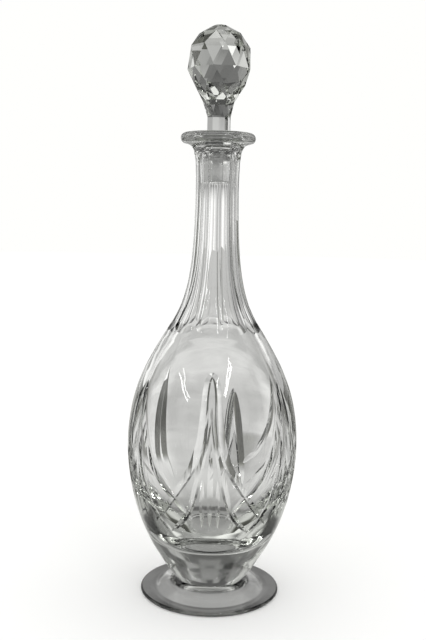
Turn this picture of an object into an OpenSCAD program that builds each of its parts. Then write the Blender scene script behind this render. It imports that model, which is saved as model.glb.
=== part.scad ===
// Cut crystal decanter: a footed bowl with a long fluted neck, an applied foot
// and a faceted drop stopper with a ground taper. Millimetres, +Z up.
// Origin: centre of the foot's resting ring, on the table.

/* [Vessel] */
// Largest diameter of the bowl
bowl_d = 111.5; // [104:0.5:118]
// Thickness of the bowl wall at its widest
wall = 6; // [4.5:0.5:7]
// Height of the inside floor above the table
floor_z = 37; // [32:1:42]
// Diameter of the flared lip
lip_d = 48; // [44:1:52]

/* [Neck] */
// Number of flat flutes cut around the neck
flute_count = 10; // [8:1:12]
// How deep a flute is cut below the ridges
flute_depth = 0.7; // [0.4:0.1:1.2]
// Height at which the flutes run out on the shoulder
flute_end_z = 175; // [172:1:185]

/* [Foot] */
// Diameter of the foot
foot_d = 92; // [84:1:100]
// Thickness of the foot at its rim
foot_rim = 2.4; // [2:0.2:3.4]
// Depth of the hollow under the foot
foot_recess = 6.4; // [4:0.4:7.2]

/* [Stopper] */
// Diameter of the plug at its lower end
plug_d = 17; // [15:0.5:17]
// Length of the ground plug
plug_len = 31; // [24:1:34]
// Play between the plug and the neck, on the radius
plug_play = 0.1; // [0.08:0.02:0.2]
// Diameter of the stopper's head over its widest corners
head_d = 40.8; // [36:0.4:44]
// Number of facets in each row of the head
facet_count = 9; // [6:1:10]

/* [Hidden] */
$fn = 96;

lip_z = 301.5;            // top of the lip
neck_r = 14.2;            // slimmest outside radius of the neck
joint_z = 10;             // bowl sits on the domed foot here
joint_r = 23.5;           // radius of that joint
plug_z = lip_z - plug_len;
taper = 0.05;             // radius gained per millimetre of plug height
bore_r = plug_d/2 + plug_play;
stem_r = 7.6;             // corners of the stem
stem_z = 312;             // the head grows out of the stem here
k = (bowl_d/2 - neck_r)/(55.75 - neck_r);
function wide(r) = r <= neck_r ? r : neck_r + (r - neck_r)*k;

// Smooth curve through a list of points, four steps to each span
function cr(a, b, c, d, t) =
    0.5*(2*b + (c - a)*t + (2*a - 5*b + 4*c - d)*t*t + (3*b - a - 3*c + d)*t*t*t);
function at(p, i) = p[min(max(i, 0), len(p) - 1)];
function curve(p, n = 4) = concat(
    [for (i = [0:len(p) - 2]) for (j = [0:n - 1])
        cr(at(p, i - 1), p[i], p[i + 1], at(p, i + 2), j/n)],
    [p[len(p) - 1]]);

// Outside of the vessel, as radius and height, from the joint up to the lip
outer = [
    [joint_r, joint_z], [27.5, 15], [31.9, 22], [34.3, 26], [39.7, 35], [45, 46],
    [49.3, 58], [52.8, 72], [55.2, 88], [55.7, 104], [54.3, 120], [51, 135],
    [45.6, 149], [40, 160], [34.2, 170], [28.2, 180], [22, 193], [17.6, 210],
    [15.2, 232], [neck_r, 262], [14.5, 282], [15.1, 289]
];
// Radius of the outside at a height, along straight spans
function outside(z) = lookup(z, [for (p = outer) [p[1], wide(p[0])]]);

// Inside of the vessel from the floor up to the lower end of the ground bore
inner = [
    [0, floor_z], [8, floor_z + 0.2], [14, floor_z + 1], [19, floor_z + 2.8], [23.5, floor_z + 5.7],
    [30, floor_z + 12.2], [36.8, 59.5], [42.6, 70], [47.1, 82], [49.5, 95], [49.7, 106], [48.2, 121],
    [44.8, 135.5], [39.4, 149], [33.8, 160], [28, 170], [22.2, 180], [16.4, 193],
    [12.2, 210], [10, 232]
];
function hollow(r) = r < 20 ? r : wide(r) + (6 - wall)*min(1, (r - 20)/20);

module vessel_section() {
    outside_line = concat(
        curve([for (p = outer) [wide(p[0]), p[1]]]),
        // concave underside of the lip
        [[15.9, 291.4], [17.2, 293.3], [19.2, 294.6]],
        // round rim
        [for (a = [-70:20:70]) [lip_d/2 - 3.1 + 3.1*cos(a), lip_z - 3.2 + 3.2*sin(a)]],
        [[lip_d/2 - 3.6, lip_z]],
        // mouth
        [[bore_r + taper*plug_len + 1.2, lip_z], [bore_r + taper*plug_len + 0.4, lip_z - 0.4],
         [bore_r + taper*plug_len, lip_z - 1.2]]);
    inside_line = concat(
        [[bore_r, plug_z - 0.5], [bore_r + 0.2, plug_z - 4]],
        [for (p = [for (i = [len(inner) - 1:-1:0]) inner[i]]) [hollow(p[0]), p[1]]]);
    polygon(concat([[0, joint_z]], outside_line,
        [inside_line[0]],
        curve([for (i = [1:len(inside_line) - 1]) inside_line[i]], 3)));
}

// One flat flute: everything outside a line that follows the neck
module flute() {
    zs = [flute_end_z, 178, 181, 185, 190, 197, 206, 218, 232, 250, 268, 284, 288];
    rotate([90, 0, 0]) linear_extrude(height = 26, center = true)
        polygon(concat(
            [for (z = zs) if (z >= flute_end_z) [outside(z)*cos(180/flute_count) - flute_depth*0.3, z]],
            [[outside(288) + 0.6, 291], [46, 291], [46, flute_end_z]]));
}

// Bowl, shoulder, neck and lip, blown in one
module bowl() color([0.86, 0.9, 0.9, 0.4]) difference() {
    rotate_extrude() vessel_section();
    for (i = [0:flute_count - 1])
        rotate([0, 0, (i + 0.5)*360/flute_count - 79]) flute();
}

// Domed foot fused under the bowl, hollow below, standing on its outer ring
module foot() color([0.84, 0.88, 0.88, 0.4]) rotate_extrude() polygon(concat(
    curve([for (p = [[0, 1], [12, 0.97], [20, 0.81], [26, 0.55], [31, 0.27], [34.4, 0.08]])
        [p[0], p[1]*foot_recess]], 3),
    [[36.4, 0], [foot_d/2 - 1.2, 0]],
    [for (a = [-60:30:60]) [foot_d/2 - 1.2 + 1.2*cos(a), foot_rim/2 + foot_rim/2*sin(a)]],
    curve([for (p = [[foot_d/2 - 1.2, 0], [36, 0.13], [32, 0.28], [28, 0.51], [25.6, 0.72], [24.3, 0.88], [joint_r, 1]])
        [p[0], foot_rim + p[1]*(joint_z - foot_rim)]], 3),
    [[0, joint_z]]));

// Rows of corners on the head: radius, height, and half a step of turn
rows = [[4.2, 368.2, 0], [13.4, 363.2, 1], [19.2, 354.8, 0], [20.4, 341, 1],
        [16.4, 331.6, 0], [10.4, 321.6, 1], [stem_r, stem_z, 0]];
module head() {
    n = facet_count;
    s = head_d/40.8;
    rings = [for (w = rows) for (i = [0:n - 1]) let (a = (i + w[2]/2)*360/n)
        [(w[1] > 320 ? s : 1)*w[0]*cos(a), (w[1] > 320 ? s : 1)*w[0]*sin(a), w[1]]];
    m = len(rows);
    sides = [for (j = [0:m - 2]) for (i = [0:n - 1])
        let (a = j*n + i, b = j*n + (i + 1)%n, c = (j + 1)*n + i, d = (j + 1)*n + (i + 1)%n)
        each (rows[j][2] == 0 ? [[a, b, c], [c, b, d]] : [[a, d, c], [a, b, d]])];
    polyhedron(rings, concat(sides,
        [[for (i = [n - 1:-1:0]) i]], [[for (i = [0:n - 1]) (m - 1)*n + i]]));
}

// Solid stopper: faceted head, flat-cut stem and ground plug
module stopper() color([0.8, 0.84, 0.84, 0.5]) union() {
    head();
    // stem with one flat to a facet
    translate([0, 0, lip_z - 1]) cylinder(h = stem_z - lip_z + 1, r = stem_r, $fn = facet_count);
    // ground plug
    rotate_extrude() polygon([[0, plug_z], [plug_d/2 - 0.6, plug_z], [plug_d/2 + taper*0.6, plug_z + 0.6],
        [plug_d/2 + taper*(plug_len - 1), lip_z - 1], [8.8, lip_z + 0.6], [0, lip_z + 0.6]]);
}

bowl();
foot();
stopper();
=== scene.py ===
"""Cut crystal decanter: looks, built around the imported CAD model. Metres, CAD frame: +Z up, -Y front."""
import math

import bpy
import numpy as np
from mathutils import Matrix, Vector


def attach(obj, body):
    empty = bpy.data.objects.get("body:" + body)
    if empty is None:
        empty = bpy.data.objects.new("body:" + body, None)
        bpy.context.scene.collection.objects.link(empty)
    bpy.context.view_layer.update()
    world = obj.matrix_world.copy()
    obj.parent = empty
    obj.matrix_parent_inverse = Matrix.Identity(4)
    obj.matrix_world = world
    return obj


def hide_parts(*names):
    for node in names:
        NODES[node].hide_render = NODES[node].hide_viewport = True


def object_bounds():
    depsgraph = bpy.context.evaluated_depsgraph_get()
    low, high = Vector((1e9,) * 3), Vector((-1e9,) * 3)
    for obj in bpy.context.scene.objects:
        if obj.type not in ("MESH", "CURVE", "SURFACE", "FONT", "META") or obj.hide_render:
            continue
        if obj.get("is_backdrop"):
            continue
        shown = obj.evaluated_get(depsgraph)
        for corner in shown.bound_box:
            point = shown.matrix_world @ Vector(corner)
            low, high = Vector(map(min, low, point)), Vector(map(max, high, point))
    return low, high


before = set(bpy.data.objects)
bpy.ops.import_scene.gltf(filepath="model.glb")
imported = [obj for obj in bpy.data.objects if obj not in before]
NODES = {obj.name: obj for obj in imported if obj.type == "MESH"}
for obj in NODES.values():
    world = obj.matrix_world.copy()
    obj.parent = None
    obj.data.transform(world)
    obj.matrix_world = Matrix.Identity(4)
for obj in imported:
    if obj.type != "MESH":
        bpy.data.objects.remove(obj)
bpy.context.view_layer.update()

scene = bpy.context.scene
MM = 0.001


# ---------------------------------------------------------------- profiles (millimetres, as in the CAD)
def catmull(pts, n):
    p = np.array(pts, float)
    out = []
    for i in range(len(p) - 1):
        a, b, c, d = p[max(i - 1, 0)], p[i], p[i + 1], p[min(i + 2, len(p) - 1)]
        for j in range(n):
            t = j / n
            out.append(0.5 * (2 * b + (c - a) * t + (2 * a - 5 * b + 4 * c - d) * t * t
                              + (3 * b - a - 3 * c + d) * t ** 3))
    out.append(p[-1])
    return np.array(out)


OUTER = [(23.5, 10), (27.5, 15), (31.9, 22), (34.3, 26), (39.7, 35), (45, 46), (49.3, 58), (52.8, 72),
         (55.2, 88), (55.7, 104), (54.3, 120), (51, 135), (45.6, 149), (40, 160), (34.2, 170), (28.2, 180),
         (22, 193), (17.6, 210), (15.2, 232), (14.2, 262), (14.5, 282), (15.1, 289), (15.9, 291.4),
         (17.2, 293.3), (19.2, 294.6), (21.0, 295.1)]
FLOOR = 37
INNER = [(0, FLOOR), (8, FLOOR + 0.2), (14, FLOOR + 1.0), (19, FLOOR + 2.8), (23.5, FLOOR + 5.7), (30, FLOOR + 12.2), (36.8, 59.5), (42.6, 70),
         (47.1, 82), (49.5, 95), (49.7, 106), (48.2, 121), (44.8, 135.5), (39.4, 149), (33.8, 160), (28, 170), (22.2, 180),
         (16.4, 193), (12.2, 210), (10, 232), (8.8, 266.5)]
outer = catmull(OUTER, 6)
inner = catmull(INNER, 4)
OZ, OR = outer[:, 1], outer[:, 0]
fine = catmull(OUTER, 40)
SLOPE = np.gradient(fine[:, 0]) / np.maximum(np.gradient(fine[:, 1]), 1e-6)
fine_in = catmull(INNER, 40)


def R(z):
    return np.interp(z, fine[:, 1], fine[:, 0])


def slope(z):
    return np.interp(z, fine[:, 1], SLOPE)


def on_bowl(theta, z):
    """Point and outward normal on the uncut outside; theta in degrees from the front towards +X."""
    a, r, s = math.radians(theta), float(R(z)), float(slope(z))
    n = np.array([math.sin(a), -math.cos(a), -s])
    return np.array([r * math.sin(a), -r * math.cos(a), z]), n / np.linalg.norm(n)


# ---------------------------------------------------------------- mesh helpers
def volume(v, f):
    t = np.array([(q[0], q[k], q[k + 1]) for q in f for k in range(1, len(q) - 1)])
    return (v[t[:, 0]] * np.cross(v[t[:, 1]], v[t[:, 2]])).sum() / 6


def make(name, v, f, tag=0, materials=()):
    """An object from millimetre points; faces are turned so that the solid's volume is positive."""
    v = np.asarray(v, float)
    if volume(v, f) < 0:
        f = [tuple(reversed(q)) for q in f]
    me = bpy.data.meshes.new(name)
    me.from_pydata([tuple(p * MM) for p in v], [], [tuple(int(i) for i in q) for q in f])
    for m in materials:
        me.materials.append(m)
    me.polygons.foreach_set("material_index", np.full(len(me.polygons), tag, np.int32))
    me.update()
    ob = bpy.data.objects.new(name, me)
    scene.collection.objects.link(ob)
    return ob


def revolve(line, n):
    """Closed solid from a half section given from axis to axis."""
    v, rings = [], []
    for r, z in line:
        if r < 1e-6:
            rings.append([len(v)] * n)
            v.append((0, 0, z))
        else:
            rings.append(list(range(len(v), len(v) + n)))
            v += [(r * math.cos(2 * math.pi * i / n), r * math.sin(2 * math.pi * i / n), z) for i in range(n)]
    f = []
    for a, b in zip(rings, rings[1:]):
        for i in range(n):
            q = [a[i], a[(i + 1) % n], b[(i + 1) % n], b[i]]
            q = [x for k, x in enumerate(q) if x not in q[:k]]
            if len(q) > 2:
                f.append(tuple(q))
    return np.array(v, float), f


def tube(sections):
    """Closed tube through rings of equal size."""
    m, n = len(sections), len(sections[0])
    v = np.array(sections, float).reshape(-1, 3)
    f = [(j * n + i, j * n + (i + 1) % n, (j + 1) * n + (i + 1) % n, (j + 1) * n + i)
         for j in range(m - 1) for i in range(n)]
    f.append(tuple(reversed(range(n))))
    f.append(tuple(range((m - 1) * n, m * n)))
    return v, f


def turned(v, deg):
    a = math.radians(deg)
    c, s = math.cos(a), math.sin(a)
    return v @ np.array([[c, -s, 0], [s, c, 0], [0, 0, 1]]).T


def joined(parts):
    """Several closed shells, each with positive volume, in one list."""
    vs, fs, base = [], [], 0
    for v, f in parts:
        if volume(v, f) < 0:
            f = [tuple(reversed(q)) for q in f]
        vs.append(v)
        fs += [tuple(i + base for i in q) for q in f]
        base += len(v)
    return np.vstack(vs), fs


def boolean(ob, cutter, op="DIFFERENCE"):
    mod = ob.modifiers.new("cut", "BOOLEAN")
    mod.operation, mod.object, mod.solver = op, cutter, "MANIFOLD"
    mod.material_mode = "INDEX"
    deps = bpy.context.evaluated_depsgraph_get()
    me = bpy.data.meshes.new_from_object(ob.evaluated_get(deps))
    ob.modifiers.clear()
    old, ob.data = ob.data, me
    bpy.data.meshes.remove(old)
    cm = cutter.data
    bpy.data.objects.remove(cutter)
    bpy.data.meshes.remove(cm)


def shade(ob, analytic=None, angle=30.0):
    """Smooth corner normals inside each kind of face, sharp between them; analytic(kind, points) may give exact ones."""
    me = ob.data
    nf, nl = len(me.polygons), len(me.loops)
    co = np.zeros(len(me.vertices) * 3)
    me.vertices.foreach_get("co", co)
    co = co.reshape(-1, 3) / MM
    lv = np.zeros(nl, np.int32)
    me.loops.foreach_get("vertex_index", lv)
    start = np.zeros(nf, np.int32)
    total = np.zeros(nf, np.int32)
    kind = np.zeros(nf, np.int32)
    fn = np.zeros(nf * 3)
    me.polygons.foreach_get("loop_start", start)
    me.polygons.foreach_get("loop_total", total)
    me.polygons.foreach_get("material_index", kind)
    me.polygons.foreach_get("normal", fn)
    fn = fn.reshape(-1, 3)
    lf = np.repeat(np.arange(nf), total)
    pos = np.arange(nl) - start[lf]
    nxt = start[lf] + (pos + 1) % total[lf]
    prv = start[lf] + (pos - 1) % total[lf]
    a = co[lv[nxt]] - co[lv]
    b = co[lv[prv]] - co[lv]
    cosang = (a * b).sum(1) / np.maximum(np.linalg.norm(a, axis=1) * np.linalg.norm(b, axis=1), 1e-12)
    w = np.arccos(np.clip(cosang, -1, 1)) + 1e-5
    order = np.argsort(lv, kind="stable")
    counts = np.bincount(lv, minlength=len(co))
    first = np.concatenate([[0], np.cumsum(counts)[:-1]])
    out = np.zeros((nl, 3))
    limit = math.cos(math.radians(angle))
    most = int(counts.max())
    for k in range(most):
        has = counts[lv] > k
        mine = np.nonzero(has)[0]
        other = order[first[lv[mine]] + k]
        same = (kind[lf[mine]] == kind[lf[other]]) & ((fn[lf[mine]] * fn[lf[other]]).sum(1) > limit)
        out[mine[same]] += fn[lf[other[same]]] * w[other[same], None]
    if analytic is not None:
        known, normals = analytic(kind[lf], co[lv])
        out[known] = normals[known]
    length = np.linalg.norm(out, axis=1)
    bad = length < 1e-9
    out[bad] = fn[lf[bad]]
    out /= np.maximum(np.linalg.norm(out, axis=1), 1e-12)[:, None]
    me.polygons.foreach_set("use_smooth", np.ones(nf, bool))
    me.normals_split_custom_set(out.astype(np.float32))
    me.update()
    return kind


# ---------------------------------------------------------------- materials
class Tree:
    """Small helper for node trees."""

    def __init__(self, nt):
        self.nt = nt
        nt.nodes.clear()

    def node(self, kind, **sets):
        n = self.nt.nodes.new(kind)
        for k, x in sets.items():
            setattr(n, k, x)
        return n

    def link(self, a, b):
        self.nt.links.new(a, b)

    def put(self, socket, x):
        if hasattr(x, "is_output"):
            self.link(x, socket)
        else:
            socket.default_value = x

    def math(self, op, a, b=0.0, c=0.0):
        n = self.node("ShaderNodeMath", operation=op)
        for i, q in enumerate((a, b, c)):
            self.put(n.inputs[i], q)
        return n.outputs[0]

    def ramp(self, x, lo, hi, to_lo=0.0, to_hi=1.0, smooth=True):
        n = self.node("ShaderNodeMapRange", interpolation_type="SMOOTHSTEP" if smooth else "LINEAR")
        for i, q in enumerate((x, lo, hi, to_lo, to_hi)):
            self.put(n.inputs[i], q)
        return n.outputs[0]

    def pane(self, x, lo, hi, soft):
        """1 between lo and hi, with soft edges."""
        return self.math("MULTIPLY", self.ramp(x, lo - soft, lo + soft), self.ramp(x, hi - soft, hi + soft, 1.0, 0.0))

    def noise(self, vec, scale, detail=2.0, rough=0.5):
        n = self.node("ShaderNodeTexNoise")
        self.link(vec, n.inputs["Vector"])
        n.inputs["Scale"].default_value = scale
        n.inputs["Detail"].default_value = detail
        n.inputs["Roughness"].default_value = rough
        return n.outputs["Fac"]


def crystal(name, rough, wave, tint, density, seat=None, base=(1.0, 1.0, 1.0), through=1.0):
    """Polished lead crystal: faint wave of the blown wall, faint wheel marks in the polish, thin tint in the thickness."""
    m = bpy.data.materials.new(name)
    m.use_nodes = True
    t = Tree(m.node_tree)
    out = t.node("ShaderNodeOutputMaterial")
    p = t.node("ShaderNodeBsdfPrincipled")
    p.inputs["Base Color"].default_value = (*base, 1)
    p.inputs["Transmission Weight"].default_value = through
    p.inputs["IOR"].default_value = 1.545
    where = t.node("ShaderNodeTexCoord").outputs["Object"]
    broad = t.noise(where, 38.0, 1.0)
    small = t.noise(where, 900.0, 3.0, 0.6)
    polish = t.ramp(small, 0.35, 0.75, 0.0, rough)
    height = t.math("MULTIPLY", broad, wave)
    if seat:                                     # the finely ground ring of the seat: heights and outer radius in millimetres
        at = t.node("ShaderNodeSeparateXYZ")
        t.link(where, at.inputs[0])
        r = t.math("SQRT", t.math("ADD", t.math("MULTIPLY", at.outputs[0], at.outputs[0]),
                                  t.math("MULTIPLY", at.outputs[1], at.outputs[1])))
        ring = t.math("MULTIPLY", t.pane(at.outputs[2], seat[0] * MM, seat[1] * MM, 0.3 * MM),
                      t.ramp(r, (seat[2] - 0.1) * MM, (seat[2] + 0.1) * MM, 1.0, 0.0))
        polish = t.math("MULTIPLY_ADD", ring, t.ramp(small, 0.35, 0.75, seat[3], seat[4]), polish)
        height = t.math("MULTIPLY_ADD", t.math("MULTIPLY", small, 0.0000015), ring, height)
    t.put(p.inputs["Roughness"], polish)
    bump = t.node("ShaderNodeBump")
    bump.inputs["Strength"].default_value = 1.0
    bump.inputs["Distance"].default_value = 1.0
    t.link(height, bump.inputs["Height"])
    t.link(bump.outputs["Normal"], p.inputs["Normal"])
    t.link(p.outputs["BSDF"], out.inputs["Surface"])
    if density > 0:
        v = t.node("ShaderNodeVolumeAbsorption")
        v.inputs["Color"].default_value = (*tint, 1)
        v.inputs["Density"].default_value = density
        t.link(v.outputs["Volume"], out.inputs["Volume"])
    return m


TINT = (0.93, 0.935, 0.924)
clear = crystal("crystal_polished", 0.012, 0.00003, TINT, 38.0, (269.5, 291.0, 10.3, 0.09, 0.17))
lip = crystal("crystal_fire_polished_lip", 0.25, 0.0, TINT, 38.0, None, (0.8, 0.8, 0.8), 0.88)
facet = crystal("crystal_cut_stopper", 0.008, 0.00002, TINT, 60.0, (271.2, 291.0, 9.8, 0.09, 0.17))


# ---------------------------------------------------------------- bowl, shoulder, neck and lip
LIP = [(20.9 + 3.1 * math.cos(math.radians(a)), 298.3 + 3.2 * math.sin(math.radians(a))) for a in range(-62, 81, 8)]
MOUTH = [(20.4, 301.5), (18, 301.52), (15, 301.5), (12.2, 301.5), (11.35, 301.42), (10.8, 301.2), (10.4, 300.8), (10.15, 300.3)]
BORE = [(10.15 - 0.05 * d, 300.3 - d) for d in (4.65, 9.3, 14, 19, 24)] + [(8.635, 270.0), (8.68, 269.3)]
section = [(0, 9.8), (12, 9.8), (23.45, 9.8)] + [tuple(p) for p in outer] + LIP + MOUTH + BORE \
    + [tuple(p) for p in inner[::-1]]
section[-1] = (0, FLOOR)
v, f = revolve(section, 240)
SLOTS = 6      # kinds of face while cutting: 0 outside, 1 flute, 2 lancet cut
kinds = [bpy.data.materials.new(f"kind{i}") for i in range(SLOTS)]
bowl = make("bowl_crystal", v, f, 0, kinds)

FLUTES = 10
HALF = 180 / FLUTES
RIDGE0 = 11.0


def flute(centre):
    """Everything outside one flat, slightly hollow flute; it runs out on the shoulder and under the lip."""
    zs = list(np.arange(172, 184, 0.75)) + list(np.arange(184, 200, 2.0)) + list(np.arange(200, 280, 5.0)) \
        + list(np.arange(280, 292.1, 1.0))
    phis = np.linspace(-26, 26, 17)
    v = []
    n = len(phis)
    for z in zs:
        r0 = float(R(z))
        t = (z - 175.4) / 6.5
        low = math.sin(math.pi / 2 * min(t, 1)) if t > 0 else t * 1.5
        u = (290.3 - z) / 8
        top = math.sin(math.pi / 2 * min(u, 1)) if u > 0 else u * 1.5
        ramp = min(low, top)
        flat = r0 - (r0 * (1 - math.cos(math.radians(HALF))) + 0.24) * ramp
        for p in phis:
            a = math.radians(centre + p)
            r = flat / math.cos(math.radians(p)) - 0.30 * max(ramp, 0) * (1 - (p / HALF) ** 2)
            v.append((r * math.sin(a), -r * math.cos(a), z))
        for p in phis[::-1]:
            a = math.radians(centre + p)
            r = (r0 + 7) / math.cos(math.radians(p))
            v.append((r * math.sin(a), -r * math.cos(a), z))
    return tube(np.array(v).reshape(len(zs), 2 * n, 3))


for odd in (0, 1):
    v, f = joined([flute(RIDGE0 + HALF + 2 * HALF * i) for i in range(odd, FLUTES, 2)])
    boolean(bowl, make("cut", v, f, 1, kinds))


def lancet(path, centre, side, deep=0.8, lean=0.0):
    """A V groove along a path of (angle, height, half width) on the outside; lean makes its outer flank the wide one."""
    c = catmull(path, 5)
    pts = [on_bowl(centre + side * a, z) for a, z, w in c]
    sections = []
    for i, (a, z, w) in enumerate(c):
        p, n = pts[i]
        t = pts[min(i + 1, len(c) - 1)][0] - pts[max(i - 1, 0)][0]
        t = t / np.linalg.norm(t)
        s = np.cross(n, t)
        s /= np.linalg.norm(s)
        w = max(w, 0.12)
        d = w * deep
        e = 1.9
        k = -lean * side
        low = p - d * n + k * w * s
        sections.append([low, low + e * ((1 - k) * w * s + d * n), low - e * ((1 + k) * w * s - d * n)])
    return tube(np.array(sections))


# paths of one arch: angle from its middle, height, half width
A_OUT = [(-1.8, 152.3, 0.3), (-0.7, 152.9, 1.3), (0.8, 152.7, 1.7), (2.3, 151.3, 1.9), (3.5, 148.6, 2.0), (4.2, 145, 2.1),
         (4.6, 141, 2.2), (4.8, 136, 2.3), (5.2, 128, 2.6), (6.4, 114.6, 2.9), (8.6, 106, 3.0), (11.7, 97.9, 2.7), (16, 90.3, 2.5), (20.2, 84.1, 2.3), (23.9, 78.9, 2.1),
         (28.2, 73.5, 2.0), (33, 68, 1.8), (37.7, 63.3, 1.5), (44.0, 57.4, 0.2)]
A_IN = [(0.6, 134, 0.2), (1.1, 128.5, 1.0), (1.8, 122, 1.4), (2.7, 116.5, 1.7), (4.1, 109, 2.0), (6.1, 100, 2.1), (8.2, 89, 2.2),
        (9.9, 82, 2.2), (11.9, 75, 2.1), (15.4, 67.5, 2.0), (20, 61.5, 1.7), (25, 57, 1.3), (29.6, 53.4, 0.2)]
B_OUT = [(0.1, 145.5, 0.2), (0.8, 142.6, 1.7), (2.0, 139.4, 2.4), (3.4, 136.2, 2.7), (5.4, 131, 2.9), (8.8, 122, 3.1), (12.6, 112, 3.0),
         (17.2, 101.5, 2.8), (22.4, 92, 2.6), (29.2, 83.2, 2.4), (35.2, 77.5, 2.2), (39.5, 72.8, 1.9), (43.5, 68.6, 1.4),
         (47.2, 65.0, 0.2)]
B_IN = [(3.6, 127, 0.2), (4.6, 120, 1.3), (6, 111, 1.9), (7.5, 102, 2.1), (9.2, 91, 2.2), (11.2, 81, 2.2), (14, 72, 2.1),
        (19.6, 63.4, 1.9), (25, 57.5, 1.4), (30.0, 53.2, 0.2)]
C_OUT = [(0.1, 128, 0.2), (0.8, 122, 2.5), (1.8, 114, 3.7), (2.8, 106, 4.3), (4.0, 92, 4.2), (5.0, 79, 3.5), (5.4, 70, 2.8),
         (6.5, 60, 1.7), (8.5, 52, 0.2)]
D_OUT = [(0.1, 128, 0.2), (0.8, 122, 2.2), (1.8, 114, 3.2), (2.9, 106, 3.6), (4.9, 92, 3.5), (7.5, 79, 3.3), (10.2, 68, 3.1),
         (12.9, 61, 2.6), (16, 54, 1.4), (18.5, 50, 0.2)]
E_OUT = [(0.1, 146, 0.2), (0.6, 140, 1.1), (1.3, 132, 2.2), (2.2, 122, 3.1), (3.0, 111, 3.5), (3.5, 98, 3.5), (4.0, 82, 3.0),
         (5.0, 68, 2.4), (7.0, 56, 0.2)]
MID = [(0, 113, 0.2), (0, 102, 1.2), (0, 90, 1.8), (0, 78, 1.9), (0, 68, 1.4), (0, 59, 0.2)]
REED_A = [(4.6, 90, 0.2), (4.9, 82, 1.2), (5.2, 73, 1.6), (5.4, 65, 1.1), (5.6, 58.5, 0.2)]
REED_B = [(5.0, 93, 0.2), (5.6, 84, 1.4), (6.2, 74, 1.8), (6.6, 65, 1.2), (6.8, 58, 0.2)]
TALL = (-0.8,)                   # the tall arch in front
BROAD = (57.0, 112.0, 299.6)     # broad arches at the sides
LOW = (162.5,)                   # narrow arches that show through the front's right and left windows
LOW_L = (227.0,)

for path, centres, sides, more in (
    (A_OUT, TALL, (1,), dict(deep=0.62, lean=0.3)), (A_OUT, TALL, (-1,), dict(deep=0.48, lean=0.45)), (B_OUT, BROAD, (1, -1), dict(deep=0.54, lean=0.3)),
    (A_IN, TALL, (1, -1), dict(deep=0.7, lean=0.2)), (B_IN, BROAD, (1, -1), dict(deep=0.5, lean=0.25)),
    (C_OUT, LOW, (1,), dict(deep=0.95, lean=0.4)), (D_OUT, LOW, (-1,), dict(deep=0.95, lean=0.4)),
    (E_OUT, LOW_L, (1,), dict(deep=0.92, lean=0.45)), (E_OUT, LOW_L, (-1,), dict(deep=0.92, lean=-0.45)),
    (MID, TALL + BROAD, (1,), dict(deep=0.55)), (REED_A, TALL, (1, -1), dict(deep=0.55)), (REED_B, BROAD, (1, -1), dict(deep=0.5)),
):
    for side in sides:
        v, f = joined([lancet(path, c, side, **more) for c in centres])
        boolean(bowl, make("cut", v, f, 2, kinds))


def bowl_normals(kind, p):
    """Exact normals on the turned surfaces, so that the curved walls refract cleanly up to every cut."""
    r = np.hypot(p[:, 0], p[:, 1])
    z = p[:, 2]
    ro = R(z)
    ri = np.interp(z, fine_in[:, 1], fine_in[:, 0])
    outside = (kind == 0) & (z > 10.1) & (z < 294.0) & (np.abs(r - ro) < 0.3)
    inside = (kind == 0) & (z > FLOOR + 0.6) & (z < 266) & (np.abs(r - ri) < 0.3) & ~outside
    so = slope(z)
    si = np.interp(z, fine_in[:, 1], np.gradient(fine_in[:, 0]) / np.maximum(np.gradient(fine_in[:, 1]), 1e-6))
    ux, uy = p[:, 0] / np.maximum(r, 1e-9), p[:, 1] / np.maximum(r, 1e-9)
    n = np.zeros_like(p)
    n[outside] = np.c_[ux, uy, -so][outside]
    n[inside] = np.c_[-ux, -uy, si][inside]
    n /= np.maximum(np.linalg.norm(n, axis=1), 1e-12)[:, None]
    return outside | inside, n


shade(bowl, bowl_normals, 26)


def set_slots(ob, chosen, picks):
    me = ob.data
    me.materials.clear()
    for m in chosen:
        me.materials.append(m)
    me.polygons.foreach_set("material_index", np.asarray(picks, np.int32))
    me.update()


def centres_of(ob):
    c = np.zeros(len(ob.data.polygons) * 3)
    ob.data.polygons.foreach_get("center", c)
    return c.reshape(-1, 3) / MM


c = centres_of(bowl)
rim_faces = (c[:, 2] > 294.8) & (c[:, 2] < 301.0) & (np.hypot(c[:, 0], c[:, 1]) > 20.8)
set_slots(bowl, [clear, lip], rim_faces.astype(int))

# ---------------------------------------------------------------- foot
under = catmull([(0, 6.4), (12, 6.2), (20, 5.2), (26, 3.5), (31, 1.7), (34.4, 0.5)], 4)
over = catmull([(44.6, 2.4), (40.5, 2.8), (36, 3.4), (32, 4.5), (28, 6.3), (25.6, 7.9), (24.3, 9.1), (23.45, 10.0)], 5)
rim = [(44.8 + 1.2 * math.cos(math.radians(a)), 1.2 + 1.2 * math.sin(math.radians(a))) for a in range(-80, 81, 10)]
foot_line = [tuple(p) for p in under] + [(35.6, 0.14), (36.4, 0.0), (40, 0.0), (44.4, 0.0)] + rim \
    + [tuple(p) for p in over] + [(12, 10.0), (0, 10.0)]
foot_line[0] = (0, 6.4)
v, f = revolve(foot_line, 200)
foot = make("foot_crystal", v, f)
shade(foot, None, 30)
set_slots(foot, [clear], np.zeros(len(foot.data.polygons)))

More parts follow.
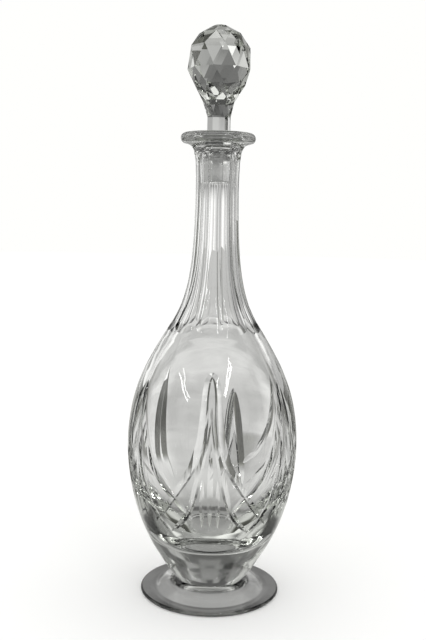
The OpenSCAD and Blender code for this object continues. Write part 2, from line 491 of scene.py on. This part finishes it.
# ---------------------------------------------------------------- stopper
ROWS = [(4.2, 368.2, 0), (13.4, 363.2, 1), (19.2, 354.8, 0), (20.4, 341, 1), (16.4, 331.6, 0), (10.4, 321.6, 1),
        (7.6, 312, 0), (7.6, 300.5, 0)]
N8 = 9       # facets in each row
v, f = [], []
for r, z, half in ROWS:
    v += [(r * math.cos(math.radians((i + half / 2) * 360 / N8)), r * math.sin(math.radians((i + half / 2) * 360 / N8)), z)
          for i in range(N8)]
for j in range(len(ROWS) - 1):
    for i in range(N8):
        a, b, c1, d = j * N8 + i, j * N8 + (i + 1) % N8, (j + 1) * N8 + i, (j + 1) * N8 + (i + 1) % N8
        if ROWS[j][2] == ROWS[j + 1][2]:
            f.append((a, b, d, c1))
        elif ROWS[j][2] == 0:
            f += [(a, b, c1), (c1, b, d)]
        else:
            f += [(a, d, c1), (a, b, d)]
f.append(tuple(range(N8 - 1, -1, -1)))
f.append(tuple(range((len(ROWS) - 1) * N8, len(ROWS) * N8)))
stopper = make("stopper_crystal", np.array(v), f, 0, kinds)
v, f = revolve([(0, 270.5), (5, 270.5), (7.9, 270.5), (8.3, 270.62), (8.53, 271.1), (9.0, 280.4), (9.525, 290.9), (10.0, 300.5),
                (9.8, 301.2), (9.3, 301.8), (8.8, 302.1), (5, 302.1), (0, 302.1)], 128)
boolean(stopper, make("plug", v, f, 1, kinds), "UNION")
shade(stopper, None, 12)
set_slots(stopper, [facet], np.zeros(len(stopper.data.polygons)))

for m in kinds:
    bpy.data.materials.remove(m)

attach(bowl, "vessel")
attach(foot, "vessel")
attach(stopper, "stopper")
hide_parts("bowl")
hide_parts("foot")
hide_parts("stopper")
for ob in (bowl, foot, stopper):
    print("PIECE", ob.name, len(ob.data.polygons), "faces", sum(len(p.vertices) - 2 for p in ob.data.polygons), "triangles")

# ---------------------------------------------------------------- studio: pale floor, soft light
floor_me = bpy.data.meshes.new("floor")
n = 96
floor_me.from_pydata([(6 * math.cos(2 * math.pi * i / n), 6 * math.sin(2 * math.pi * i / n), -0.0004) for i in range(n)], [],
                     [tuple(range(n))])
floor = bpy.data.objects.new("floor", floor_me)
scene.collection.objects.link(floor)
floor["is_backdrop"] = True
fm = bpy.data.materials.new("studio_floor")
fm.use_nodes = True
t = Tree(fm.node_tree)
out = t.node("ShaderNodeOutputMaterial")
lp = t.node("ShaderNodeLightPath")
pale = t.node("ShaderNodeBsdfDiffuse")
pale.inputs["Color"].default_value = (0.92, 0.92, 0.92, 1)
painted_floor_glow = t.node("ShaderNodeEmission")                  # painted glow that the glass sees in place of the table: painted shade close by, paler further off
spot = t.node("ShaderNodeSeparateXYZ")
place = t.node("ShaderNodeNewGeometry").outputs["Position"]
t.link(place, spot.inputs[0])
far = t.math("SQRT", t.math("ADD", t.math("MULTIPLY", spot.outputs[0], spot.outputs[0]),
                            t.math("MULTIPLY", spot.outputs[1], spot.outputs[1])))
turn = t.math("MULTIPLY", t.math("ARCTAN2", spot.outputs[0], spot.outputs[1]), 180 / math.pi)   # 0 behind, + to the right
aside = t.math("ABSOLUTE", turn)
painted_glow_level = t.ramp(far, 0.0345, 0.0365, 0.36, 0.16)      # painted shade under the foot: a lighter painted patch inside the hollow, then a darker painted ring where the foot rests
# soft patches of painted light and shade in the floor glow: from, to (degrees of turn), soft edge, then distance and
# brightness along the way out
PAINTED_GLOW_PATCHES = [
    (aside, 130, 190, 12, [(0.0345, 0.0), (0.0365, -0.05), (0.046, -0.05), (0.050, 0.0)]),
    (aside, 40, 130, 12, [(0.0345, 0.0), (0.0365, 0.04), (0.046, 0.04), (0.050, 0.0)]),
    (turn, -60, 60, 12, [(0.046, 0.0), (0.056, 0.28), (0.10, 0.34), (0.16, 0.48), (0.50, 0.42)]),
    (aside, 20, 60, 8, [(0.07, 0.0), (0.10, 0.22), (0.17, 0.22), (0.22, 0.0)]),
    (aside, 12, 20, 3, [(0.14, 0.0), (0.24, 0.24), (0.90, 0.24), (1.10, 0.0)]),
    (turn, 21, 42, 3, [(0.19, 0.0), (0.27, -0.50)]),
    (turn, -42, -23, 3, [(0.19, 0.0), (0.27, -0.50)]),
    (aside, 42, 60, 3, [(0.19, 0.0), (0.27, -0.08), (0.80, -0.08), (1.0, -0.40)]),
    (turn, -20, 20, 5, [(0.70, 0.0), (0.90, 0.12), (1.15, 0.10), (1.30, -0.08), (1.55, -0.08), (1.75, 0.0)]),
    (turn, 4, 20, 4, [(0.12, 0.0), (0.20, -0.25), (0.36, -0.25), (0.42, 0.0)]),
    (turn, -122, -60, 12, [(0.046, 0.0), (0.056, 0.08), (0.08, 0.08), (0.16, 0.60)]),
    (turn, 60, 122, 12, [(0.046, 0.0), (0.056, 0.08), (0.08, 0.08), (0.16, 0.48)]),
    (aside, 122, 190, 12, [(0.10, 0.0), (0.30, 0.34), (0.70, 0.40)]),
]
for x, lo, hi, soft, steps in PAINTED_GLOW_PATCHES:
    out_way = 0.0
    for (r0, v0), (r1, v1) in zip(steps, steps[1:]):
        out_way = t.math("ADD", t.ramp(far, r0, r1, 0.0, v1 - v0), out_way)
    painted_glow_level = t.math("MULTIPLY_ADD", out_way, t.pane(x, lo, hi, soft), painted_glow_level)
blotch = t.ramp(t.noise(place, 11.0, 4.0, 0.6), 0.25, 0.75, 0.86, 1.14, False)      # faint unevenness of the table
painted_glow_level = t.math("MULTIPLY", t.math("MAXIMUM", painted_glow_level, 0.0), blotch)
t.link(painted_glow_level, painted_floor_glow.inputs["Strength"])
hue = t.node("ShaderNodeMix", data_type="RGBA")      # the dim parts of the painted glow further off are tinted faintly olive
t.link(t.math("MAXIMUM", t.ramp(painted_glow_level, 0.15, 0.5), t.ramp(far, 0.10, 0.20, 1.0, 0.0)), hue.inputs[0])
hue.inputs[6].default_value = (1.0, 1.01, 0.90, 1)
hue.inputs[7].default_value = (1.0, 1.0, 0.98, 1)
t.link(hue.outputs[2], painted_floor_glow.inputs["Color"])
mix = t.node("ShaderNodeMixShader")
# camera rays see the evenly pale diffuse floor; every other ray sees the painted glow with its painted shade and
# patches
t.link(lp.outputs["Is Camera Ray"], mix.inputs[0])
t.link(painted_floor_glow.outputs[0], mix.inputs[1])
t.link(pale.outputs[0], mix.inputs[2])
t.link(mix.outputs[0], out.inputs["Surface"])
floor_me.materials.append(fm)

world = bpy.data.worlds.new("studio")
scene.world = world
world.use_nodes = True
world.cycles.sampling_method = "NONE"
t = Tree(world.node_tree)
out = t.node("ShaderNodeOutputWorld")
way = t.node("ShaderNodeTexCoord").outputs["Generated"]
sep = t.node("ShaderNodeSeparateXYZ")
t.link(way, sep.inputs[0])
turn = t.math("MULTIPLY", t.math("ARCTAN2", sep.outputs[0], sep.outputs[1]), 180 / math.pi)     # 0 behind, + to the right
rise = t.math("MULTIPLY", t.math("ARCSINE", sep.outputs[2]), 180 / math.pi)
aside = t.math("ABSOLUTE", turn)
# soft panels round the object: from, to (degrees of turn), soft edge, from, to (degrees of rise), soft edge, brightness
PANELS = [
    (turn, -75, -38, 5, -90, 4, 2.5, 0.68),      # low pale wall behind, with bright openings
    (turn, -38, -22, 4, -90, 4, 2.5, 1.15),
    (turn, -22, -8, 4, -90, 4, 2.5, 1.25),
    (turn, -8, 8, 4, -90, 4, 2.5, 0.85),
    (turn, 8, 22, 4, -90, 4, 2.5, 0.52),
    (turn, 22, 50, 5, -90, 4, 2.5, 0.52),
    (turn, 50, 75, 5, -90, 4, 2.5, 0.12),
    (turn, -52, 52, 6, 32, 56, 3, 0.07),         # dark ceiling above it
    (turn, -52, -38, 4, 4, 18, 2.5, 0.84),       # lit walls to the left and right
    (turn, 35, 53, 4, 4, 9.5, 2.5, 0.42),
    (turn, 35, 53, 4, 9.5, 18, 2.5, 1.15),
    (turn, -104, -52, 6, 4, 16, 3, 0.42),
    (turn, -104, -52, 6, 16, 36, 3, 0.95),       # left window
    (turn, 53, 104, 6, 4, 36, 3, 0.32),
    (turn, -130, -75, 6, -90, 4, 2.5, 0.30),
    (turn, 75, 130, 6, -90, 4, 2.5, 0.75),
    (aside, 130, 190, 6, -90, 34, 3, 0.56),      # room behind the camera
    (aside, 90, 190, 10, 34, 56, 3, 1.20),       # large soft light above the camera
    (aside, -5, 190, 4, 56, 95, 3, 0.06),
]
# a dim wall with soft panes behind: rise from, to, then where each pane ends and how bright it is
PANES = [
    (4, 8, [-38, (-22, 0.30), (-9, 0.50), (6, 0.16), (22, 0.60), (35, 0.36)]),
    (8, 14, [-38, (-31, 0.30), (-22, 1.25), (8, 0.20), (21, 0.34), (35, 0.55)]),
    (14, 18, [-38, (35, 0.14)]),
    (18, 24, [-52, (-31, 0.30), (-8, 0.15), (8, 0.28), (20, 0.17), (35, 0.50), (52, 0.20)]),
    (24, 32, [-52, (-21, 0.15), (-11, 0.06), (-4, 0.34), (3, 0.08), (9, 0.26), (21, 0.42), (52, 0.12)]),
]
for el_lo, el_hi, row in PANES:
    for lo, (hi, bright) in zip([row[0]] + [q[0] for q in row[1:]], row[1:]):
        PANELS.append((turn, lo, hi, 2, el_lo, el_hi, 2, bright))
room = 0.0
for x, lo, hi, soft, el_lo, el_hi, el_soft, bright in PANELS:
    k = t.math("MULTIPLY", t.pane(x, lo, hi, soft), t.pane(rise, el_lo, el_hi, el_soft))
    room = t.math("MULTIPLY_ADD", k, bright, room)
lp = t.node("ShaderNodeLightPath")
seen = t.node("ShaderNodeMix", data_type="FLOAT")
t.link(lp.outputs["Is Camera Ray"], seen.inputs[0])
t.link(room, seen.inputs[2])
seen.inputs[3].default_value = 1.0
lit = t.node("ShaderNodeMix", data_type="FLOAT")
t.link(lp.outputs["Is Diffuse Ray"], lit.inputs[0])
t.link(seen.outputs[0], lit.inputs[2])
lit.inputs[3].default_value = 1.12
bg = t.node("ShaderNodeBackground")
bg.inputs["Color"].default_value = (1.0, 1.0, 0.985, 1)
t.link(lit.outputs[0], bg.inputs["Strength"])
t.link(bg.outputs[0], out.inputs["Surface"])


def strip(name, top, foot_end, wide, watts, aside=0.0):
    """A soft strip light between two points, moved sideways, aimed at the shoulder of the bowl."""
    top, foot_end, target = Vector(top), Vector(foot_end), Vector((0, -0.04, 0.145))
    li = bpy.data.lights.new(name, "AREA")
    li.shape, li.size, li.size_y, li.energy = "RECTANGLE", wide, (top - foot_end).length, watts
    ob = bpy.data.objects.new(name, li)
    scene.collection.objects.link(ob)
    mid = (top + foot_end) / 2
    z = (mid - target).normalized()
    x = (top - foot_end).cross(z).normalized()
    m = Matrix((x, z.cross(x), z)).transposed().to_4x4()
    m.translation = mid + aside * x
    ob.matrix_world = m
    ob.visible_camera = False
    return ob


strip("strip_left", (-1.155, -0.521, 1.008), (-0.869, -1.128, 0.733), 0.036, 1.1)
strip("strip_right", (0.66, -0.872, 1.224), (0.429, -1.285, 0.878), 0.06, 1.5)

# ---------------------------------------------------------------- camera at the photograph's angle
cam_data = bpy.data.cameras.new("camera")
cam_data.sensor_fit = "VERTICAL"
cam_data.sensor_height = 36.0
cam_data.sensor_width = 36.0
cam_data.lens = 874.4 / 640 * 36.0
cam_data.clip_start, cam_data.clip_end = 0.01, 50
cam = bpy.data.objects.new("camera", cam_data)
scene.collection.objects.link(cam)
pitch, roll = 0.1112, 0.0201
cam.matrix_world = Matrix.Translation((-0.001056, -0.568, 0.2451)) @ Matrix.Rotation(math.pi / 2 - pitch, 4, "X") \
    @ Matrix.Rotation(roll, 4, "Z")
scene.camera = cam

scene.view_settings.view_transform = "Standard"
scene.cycles.max_bounces = 10
scene.cycles.transmission_bounces = 10
scene.cycles.glossy_bounces = 10
scene.cycles.transparent_max_bounces = 16
scene.cycles.blur_glossy = 0.3

lo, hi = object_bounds()
